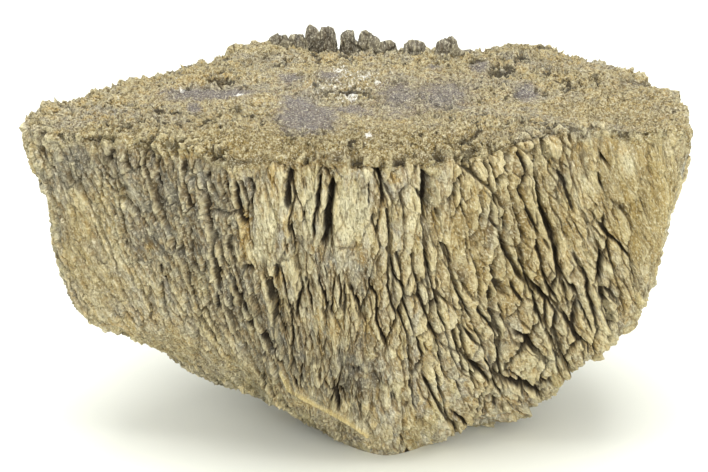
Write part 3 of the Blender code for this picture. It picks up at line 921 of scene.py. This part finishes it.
def add_side(name, first, last, columns, rows):
    """One piece of the side, between two directions at the rim, with its relief and its marks.

    The marks are worked out a little past both ends, so that they agree where pieces meet.
    """
    step = (last - first) / (columns - 1)
    turns = first + step * np.arange(-MARGIN, columns + MARGIN)
    turns, depths = np.meshgrid(turns, np.linspace(-TOP_BAND_MM, SIDE_MM, rows))
    smooth, angles, share = bone_point(turns, depths)
    facing = bone_facing(turns, depths)
    across, along = grain_place(angles, share)
    along = along + np.minimum(depths, 0)
    x, y = seen_at(smooth)
    towards = camera_place_mm - smooth
    towards /= np.linalg.norm(towards, axis=-1, keepdims=True)
    shown = eased(0, VIEW_EDGE, (facing * towards).sum(axis=-1))
    traced, traced_cracks, calm = traced_relief(x, y)
    on_side = shown * eased(*ON_SIDE, depths)
    rough = np.interp(across, *zip(*ROUGH)) * (1 - calm * on_side)
    cracked = np.interp(across, *zip(*CRACKED)) - LOW_LESS_CRACKED * eased(*LOW, depths)
    height, cracks, beside, lucks = bark(across, along, rough, cracked)
    height += traced * on_side - BARK_SINK_MM * eased(*SUNK, depths)
    cracks = np.maximum(cracks, traced_cracks * on_side)

    ragged = clouds(across, along, RAGGED)
    spongy = eased(*SPONGE_EDGE_MM, np.interp(across, *zip(*SPONGE_LINE_MM)) - depths + ragged)
    spongy = np.maximum(spongy, eased(*IN_BAND, depths))
    spongy = np.maximum(spongy, patches("crumbled", x, y) * shown)
    from_seam = np.minimum(SEAM_DEG[1] - turns, turns - SEAM_DEG[0])
    grained = eased(SEAM_STRIP_DEG, 2 * SEAM_STRIP_DEG, from_seam + ragged)
    spongy = np.maximum(spongy, 1 - grained)
    sponge_height, pores = sponge(smooth[..., 0], smooth[..., 1] + np.maximum(depths, 0))
    crumbling = bell(depths, CRUMBLE_REACH_MM)
    tufted = np.interp(turns, *zip(*TUFTED)) * bell(depths + TUFT_ABOVE_MM, TUFT_REACH_MM)
    tufted *= eased(*TUFT_RANGE, cloud(across / TUFT_WIDE_MM, along / TUFT_LONG_MM, 305))
    sponge_height *= spongy * (1 + RIM_ROUGHER * crumbling)
    height = height * (1 - spongy) + sponge_height - TUFT_MM * tufted
    # Pores and the gaps between tufts are painted dark through the crack mark: painted shade.
    cracks = cracks * (1 - spongy) + np.maximum(PORE_DARK * pores, TUFT_DARK * tufted) * spongy
    off, _ = line_place(x, y, RIDGE_LINE_PX)
    golden, plain = bell(off, RIDGE_HALF_PX) * shown, 1 - bell(off, RIDGE_CALM_PX) * shown
    height = height * plain + RIDGE_LINE_MM * golden
    cracks *= plain
    marks = relief_marks(height, cracks, 6, 8)

    round_mm = np.interp(turns, *zip(*RIM_ROUND_MM))
    near_rim = eased(*NEAR_RIM, depths)
    height -= round_mm * np.exp(-np.abs(depths) / (RIM_REACH_SHARE * round_mm)) * near_rim
    height -= RIM_CRUMBLE_MM * eased(0, 1, cloud(across / 4, along / 4, 303)) * crumbling * grained
    lumps = RIM_LUMP_MM * cloud(across / 9, along / 8, 304) * grained
    height += lumps * bell(depths, LUMP_REACH_MM) * near_rim
    height += np.interp(turns, *zip(*RIM_LIFT_MM)) * bell(depths, LIFT_REACH_MM) * near_rim
    height *= eased(0, SPOT_FADE_MM, SIDE_MM - depths)
    points = smooth + facing * height[..., None]
    points[..., 2] = np.maximum(points[..., 2], LOWEST_SHARE * smooth[..., 2])

    number = LUCK_MM[0] * lucks[0] + LUCK_MM[1] * lucks[1]
    marks["grain"] = np.stack((across, along, number), axis=-1) * MM
    marks["plates"] = np.stack(lucks[:3], axis=-1)
    marks["spongy"], marks["beside"], marks["golden"] = spongy, beside, golden
    marks.update({tint: patches(tint, x, y) * shown for tint in TINTS})
    add_patch(name, points, marks, bone, stands=True)


# In front the points stand about 0.2 mm apart across and 0.3 mm down, and behind, which the
# picture doesn't show, about 0.25 and 0.5 mm.
for name, first, last, columns, rows in (
    ("fibrous_far_left", -190, -153, 285, 343), ("fibrous_left", -153, -105, 285, 343),
    ("fibrous_middle", -105, -50, 285, 343), ("fibrous_right", -50, -8, 285, 343),
    ("fibrous_back_right", -8, 90, 420, 232), ("fibrous_back_left", -270, -190, 420, 232),
):
    add_side(name, first, last, columns, rows)


# The broken top: spongy bone from inside the limb, a nearly level field of crumbs and granules
# with small open pores. It runs out under the crumbled edge of the sides.

# A square grid is pressed into a disc, each coordinate times the root of one less half the other
# one's square, and the disc is stretched to the rim. The smooth film of purple parts is flatter.
TOP_OVERLAP_MM, TOP_DIVE_MM = 0.8, 1.2
TOP_HALF_X_MM, TOP_HALF_Y_MM = 78.0, 60.0
TOP_COLUMNS, TOP_ROWS = 380, 258
FILM_SHARE, TOP_PORE_DARK = 0.5, 0.7
for name, first, last in (("spongy_left", -1, 0), ("spongy_right", 0, 1)):
    step = (last - first) / (TOP_COLUMNS - 1)
    x = np.clip(first + step * np.arange(-MARGIN, TOP_COLUMNS + MARGIN), -1, 1)
    x, y = np.meshgrid(x, np.linspace(1, -1, TOP_ROWS))
    disc_x, disc_y = x * np.sqrt(1 - y * y / 2), y * np.sqrt(1 - x * x / 2)
    share = np.hypot(disc_x, disc_y)
    rim = closed_curve(np.arctan2(disc_y * TOP_HALF_Y_MM, disc_x * TOP_HALF_X_MM), rim_keys, RIM_MM)
    reach = np.hypot(rim[..., 0], rim[..., 1])
    share *= 1 - (TOP_BAND_MM - TOP_OVERLAP_MM) / reach
    top = rim * share[..., None]
    x, y = seen_at(np.stack((top[..., 0], top[..., 1], 0 * share + RIM_LEVEL_MM), axis=-1))
    height, pores = sponge(top[..., 0], top[..., 1])
    film = 1 - FILM_SHARE * np.clip(patches("purple", x, y), 0, 1)
    under_band = eased(0, -TOP_OVERLAP_MM, reach * (1 - share) - TOP_BAND_MM)
    top[..., 2] = top_level(top[..., 0], top[..., 1], share) + height * film - TOP_DIVE_MM * under_band
    # The top's pores and low places are painted dark as shade, and its raised crumbs light as a highlight.
    marks = relief_marks(height * film, TOP_PORE_DARK * pores * film, 4, 8)
    marks["grain"] = top * MM
    marks["plates"] = 0 * top + 0.5
    marks["spongy"], marks["beside"] = 0 * height + 1, 0 * height
    marks.update({tint: patches(tint, x, y) for tint in TINTS})
    add_patch(name, top, marks, bone)


# The broken ridge: darker, harder bone that still stands along the back rim in jagged stubs
# with gaps between them. It is a wall with its foot in the stone.

# Its crest as seen in the picture, and how far back it stands there.
RIDGE_PX = (
    (225, 56), (228, 48), (236, 44), (248, 45), (258, 43), (266, 44.5), (270, 37), (277, 33.5),
    (286, 35), (288, 39), (291, 35), (303, 36), (305, 40), (306, 30), (310, 25.5), (316, 27), (319, 33),
    (322, 27), (328, 26.5), (333, 29), (336, 38), (337.5, 50), (340, 50),
    (341.5, 33), (347, 30), (353, 31), (355, 40), (358, 42), (361, 33), (366, 31), (372, 34), (379, 39),
    (381, 43), (385, 41), (392, 40.5), (396, 43), (398, 56), (403, 56), (405, 46), (410, 42), (416, 41.5),
    (424, 44), (428, 49), (432, 51), (436, 50), (438, 42), (444, 38.5), (448, 40), (452, 35.5), (456, 39),
    (458, 47), (462, 51), (470, 50), (476, 53), (481, 58),
)
RIDGE_Y_MM = (
    (225, 61.0), (250, 61.8), (290, 60.5), (312, 58.6), (330, 57.0), (345, 54.5), (366, 54.4),
    (388, 53.4), (416, 52.0), (446, 51.3), (481, 52.5),
)
# Its section is a ring squared by powers of its cosine and sine, from the foot to the crest. It
# is broken into blocks and chips: their sizes, how far each stands out, and the grooves between.
RIDGE_THICK_MM, RIDGE_FOOT_MM, RIDGE_SQUARE = 5.0, 4.5, 3.4
RIDGE_COLUMNS, RIDGE_ROWS = 520, 84
BLOCK_MM, BLOCK_STEP_MM, BLOCK_SWAY_MM = (3.4, 5.0), 1.3, 0.7
CHIP_MM, CHIP_STEP_MM, JOG_MM, UP_SHARE = (1.1, 1.6), 0.5, 0.3, 0.5
GROOVE_MM, GROOVE_WIDE_MM, GROOVE_DARK, GROOVE_DARK_WIDE_MM = 0.4, 0.22, 0.45, 0.2
RIDGE_LIGHT, RIDGE_LIGHT_MM, RIDGE_DARK_PX, RIDGE_GREY = 0.15, (0.1, 0.6), (262, 272), 0.7
BEHIND_MM = 100
across_px, turn = np.meshgrid(
    np.linspace(RIDGE_PX[0][0], RIDGE_PX[-1][0], RIDGE_COLUMNS),
    np.linspace(0, 2 * math.pi, RIDGE_ROWS, endpoint=False),
)
y_mm = np.interp(across_px, *zip(*RIDGE_Y_MM))
crest = sight_points(across_px, np.interp(across_px, *zip(*RIDGE_PX)), y_mm)
foot = RIM_LEVEL_MM - RIDGE_FOOT_MM
half_high = (crest[..., 2] - foot) / 2
squared = np.abs(np.cos(turn)) ** RIDGE_SQUARE + np.abs(np.sin(turn)) ** RIDGE_SQUARE
squared = squared ** (-1 / RIDGE_SQUARE)
out_y, out_z = -squared * np.cos(turn), -squared * np.sin(turn)
z_mm = foot + half_high * (1 + out_z)
place = crest[..., 0] + BEHIND_MM * (out_y > 0)
swayed = place + BLOCK_SWAY_MM * cloud(z_mm / 2, place / 2, 500)
_, border, _, luck = cells(swayed, z_mm, *BLOCK_MM, 501)
relief = BLOCK_STEP_MM * (luck - 0.5) - GROOVE_MM * bell(border, GROOVE_WIDE_MM)
cracks = GROOVE_DARK * bell(border, GROOVE_DARK_WIDE_MM)
_, border, _, luck = cells(place, z_mm, *CHIP_MM, 511)
relief += CHIP_STEP_MM * (luck - 0.5)
points = np.stack((
    crest[..., 0] + JOG_MM * cloud(z_mm / 1.5, y_mm + out_y * 2, 521),
    y_mm + out_y * (RIDGE_THICK_MM / 2 + relief),
    z_mm + UP_SHARE * relief * out_z,
), axis=-1)
number = np.arange(RIDGE_ROWS * RIDGE_COLUMNS).reshape(RIDGE_ROWS, RIDGE_COLUMNS)
number = np.concatenate((number, number[:1]))
left_end, right_end = RIDGE_ROWS * RIDGE_COLUMNS, RIDGE_ROWS * RIDGE_COLUMNS + 1
fans = np.concatenate((fan_of(number[:, 0], left_end)[:, (1, 0, 2)], fan_of(number[:, -1], right_end)))
flat = np.meshgrid(np.linspace(0.02, 0.98, RIDGE_COLUMNS), np.linspace(0, 1, RIDGE_ROWS + 1))
flat = np.stack(flat, axis=-1)
fan_flat = np.concatenate((
    np.stack((flat[1:, 0], flat[:-1, 0], flat[:-1, 0] * (0, 1)), axis=1),
    np.stack((flat[:-1, -1], flat[1:, -1], flat[:-1, -1] * (0, 1) + (1, 0)), axis=1),
)).reshape(-1, 2)
places = np.concatenate((corners_of(flat).reshape(-1, 2), fan_flat))
dark = eased(*RIDGE_DARK_PX, across_px)
# The grooves between blocks are painted dark as shade, and the blocks' raised parts painted light as a
# highlight.
marks = {
    "hollow": cracks, "edge": RIDGE_LIGHT * eased(*RIDGE_LIGHT_MM, relief), "beside": 0 * relief,
    "spongy": 1 - dark, "dark": dark, "grey": RIDGE_GREY * dark,
    "grain": points[..., (0, 2, 1)] * MM, "plates": np.stack((luck, luck, luck), axis=-1),
}
points = np.concatenate((points.reshape(-1, 3), points[:, (0, -1)].mean(axis=0)))
quads = corners_of(number).reshape(-1, 4)
add_piece("rim_ridge", points, quads, fans, places, with_ends(marks, 2), bone)
